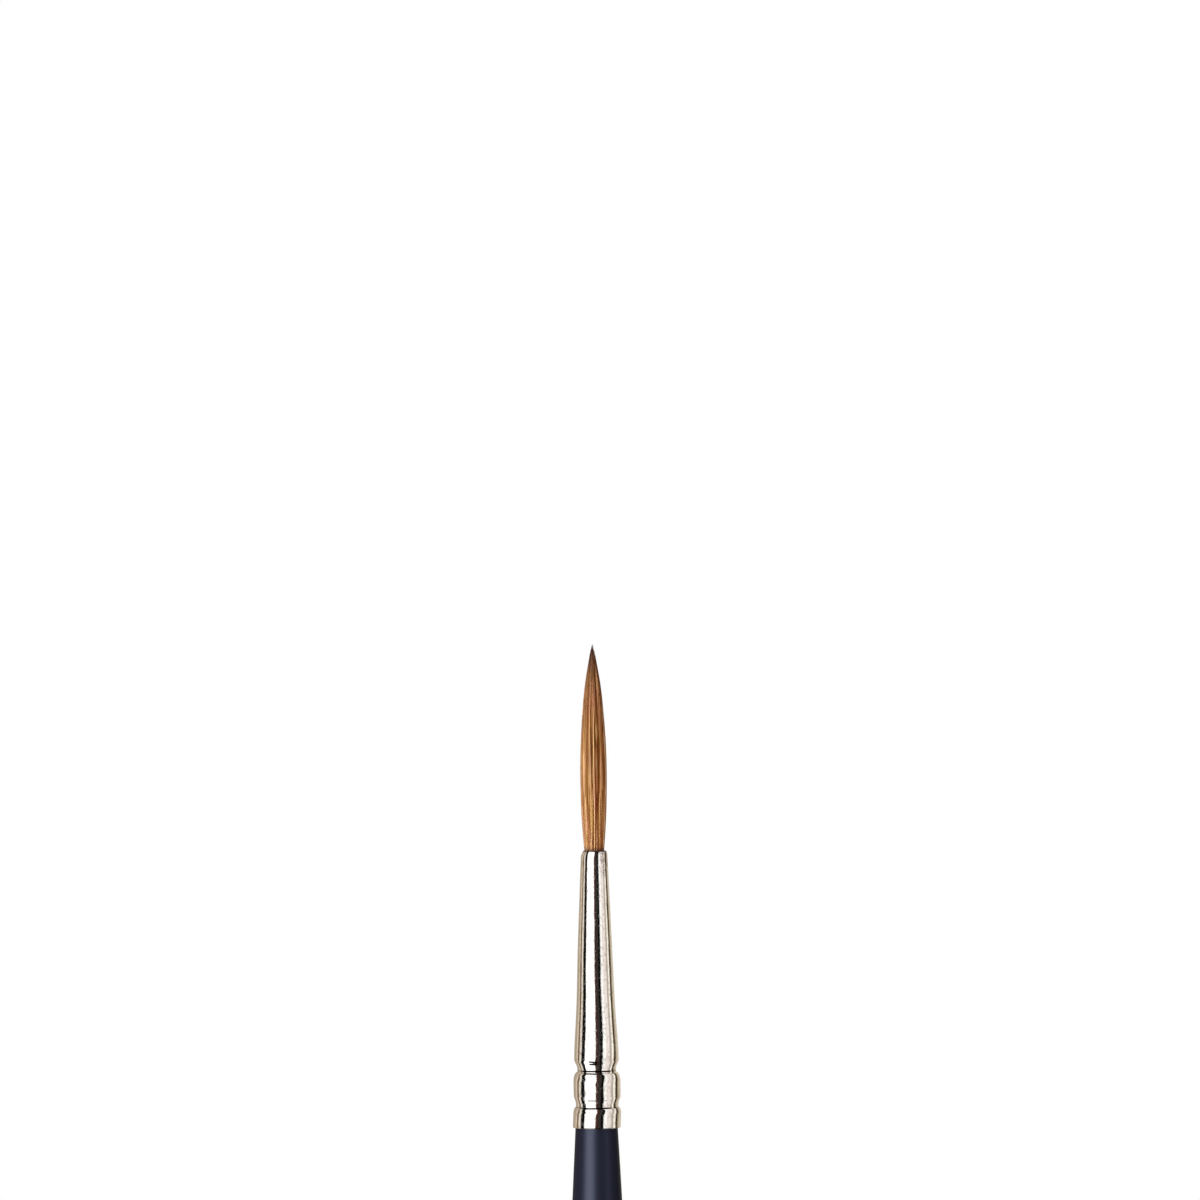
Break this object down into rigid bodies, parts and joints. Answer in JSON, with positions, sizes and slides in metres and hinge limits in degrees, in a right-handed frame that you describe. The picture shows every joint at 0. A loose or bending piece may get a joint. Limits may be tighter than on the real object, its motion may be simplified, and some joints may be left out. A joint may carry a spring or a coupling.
{
  "type": "fine detail brush",
  "caption": "Slim round artist's brush: pointed natural-hair tuft in a crimped, tapered metal ferrule on a turned, lacquered wooden handle.",
  "frame": {"origin": "middle of the small flat at the butt end of the handle", "axes": "+Z along the brush from the butt to the point of the tuft; +X is the axis the tuft bends about; +Y completes the right-handed set"},
  "size_m": [0.0078, 0.0078, 0.2005],
  "materials": {
    "sable_belly": "golden brown natural hair, fine dark streaks, soft sheen",
    "sable_point": "brown natural hair, darker towards its tips, soft sheen",
    "sable_roots": "natural hair soaked with resin",
    "nickel_plate": "bright nickel plate on brass, polished, fine drawing lines and light scratches",
    "birch": "turned hardwood, unfinished under the coat",
    "navy_lacquer": "dark navy lacquer, satin",
    "handle_adhesive": "cured adhesive film",
    "root_resin": "cured resin",
    "linen_thread": "waxed thread"
  },
  "bodies": {
    "handle": {"handle_wood": "birch", "handle_lacquer": "navy_lacquer", "handle_glue": "handle_adhesive", "ferrule": "nickel_plate", "root_plug": "root_resin", "hair_roots": "sable_roots", "binding_thread": "linen_thread"},
    "tuft": {"belly_hair": "sable_belly", "point_hair": "sable_point"}
  },
  "joints": [
    {"name": "tuft_bend", "type": "hinge", "parent": "handle", "child": "tuft", "pos_m": [0, 0, 0.1756], "axis": [1, 0, 0], "range_deg": [-45, 45], "stiffness_Nm_per_rad": 0.0013}
  ]
}
